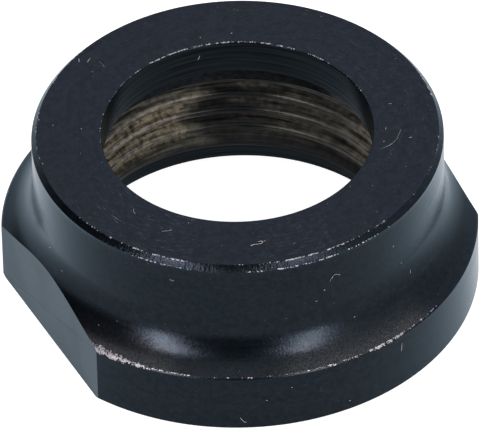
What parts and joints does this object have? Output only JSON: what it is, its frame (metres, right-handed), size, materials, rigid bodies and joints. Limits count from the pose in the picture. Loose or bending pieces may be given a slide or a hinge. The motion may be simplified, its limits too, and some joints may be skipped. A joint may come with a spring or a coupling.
{
  "type": "axle nut",
  "caption": "Round shouldered axle nut in blackened steel: internal thread, plain bore through its lip, coved boss on a flange with opposite wrench flats.",
  "frame": {"origin": "centre of the base, the open threaded end that the nut stands on", "axes": "+Z along the nut's axis, from the threaded mouth towards the plain lip; the two wrench flats face +X and -X"},
  "size_m": [0.03, 0.0336, 0.0129],
  "materials": {
    "blackened_steel": "semi-gloss black oxide over turned steel, worn bright on the sharp edges, with oily residue in the thread"
  },
  "bodies": {
    "root": {"axle_nut": "blackened_steel"}
  },
  "joints": []
}
